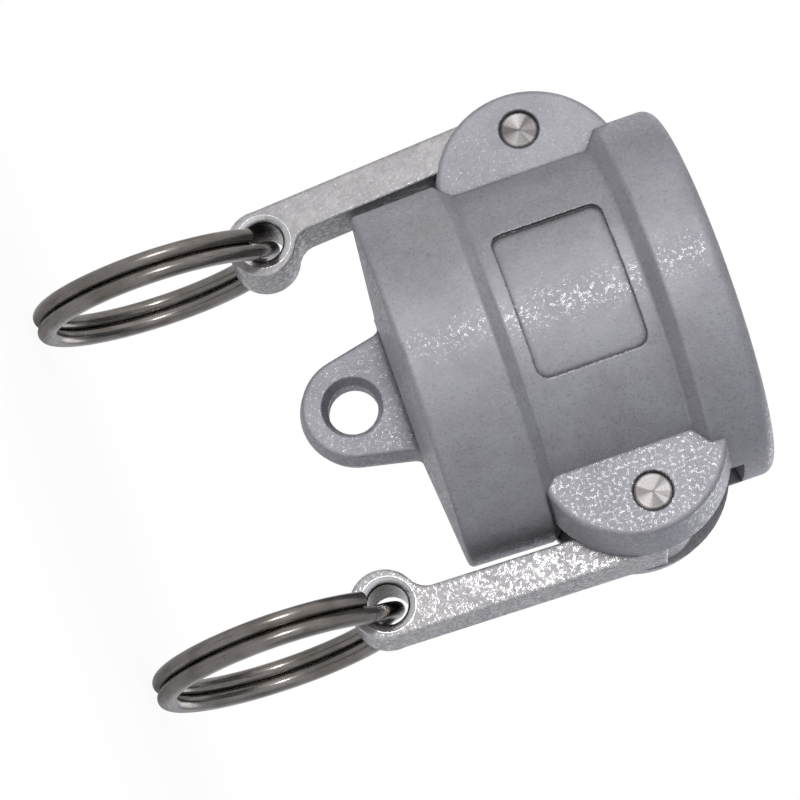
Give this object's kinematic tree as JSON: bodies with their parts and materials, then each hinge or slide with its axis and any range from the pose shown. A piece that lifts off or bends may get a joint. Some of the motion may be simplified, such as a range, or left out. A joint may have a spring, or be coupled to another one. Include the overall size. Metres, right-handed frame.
{
  "type": "camlock dust cap",
  "caption": "Cast dust cap for a cam-and-groove pipe adapter, with a gasket, two hinged cam arms, split pull rings and a cord lug.",
  "frame": {"origin": "on the bore axis, in the plane of the mouth rim", "axes": "+Z along the bore axis, out of the mouth; the arm pins run along Y; +X towards the right-hand arm"},
  "size_m": [0.0528, 0.0414, 0.0709],
  "materials": {
    "cast_body": "shot-blasted cast stainless, matte with fine pits",
    "gasket": "smooth moulded rubber",
    "pin": "turned ends",
    "cast_arm": "tumbled cast stainless with bright rounded edges",
    "ring_wire": "drawn spring steel, browned"
  },
  "bodies": {
    "cap": {"cap_body": "cast_body", "gasket": "gasket", "pin_left": "pin", "pin_right": "pin"},
    "arm_left": {"cam_arm_left": "cast_arm"},
    "arm_right": {"cam_arm_right": "cast_arm"},
    "ring_left": {"split_ring_left": "ring_wire"},
    "ring_right": {"split_ring_right": "ring_wire"}
  },
  "joints": [
    {"name": "arm_left_hinge", "type": "hinge", "parent": "cap", "child": "arm_left", "pos_m": [-0.0212, 0, -0.0143], "axis": [0, 1, 0], "range_deg": [0, 112]},
    {"name": "arm_right_hinge", "type": "hinge", "parent": "cap", "child": "arm_right", "pos_m": [0.0212, 0, -0.0143], "axis": [0, -1, 0], "range_deg": [-2.7, 112]},
    {"name": "ring_left_swing", "type": "hinge", "parent": "arm_left", "child": "ring_left", "pos_m": [-0.02066, 0, -0.04424], "axis": [0, 1, 0], "range_deg": [-40, 100]},
    {"name": "ring_right_swing", "type": "hinge", "parent": "arm_right", "child": "ring_right", "pos_m": [0.02207, 0, -0.04423], "axis": [0, -1, 0], "range_deg": [-40, 100]}
  ]
}
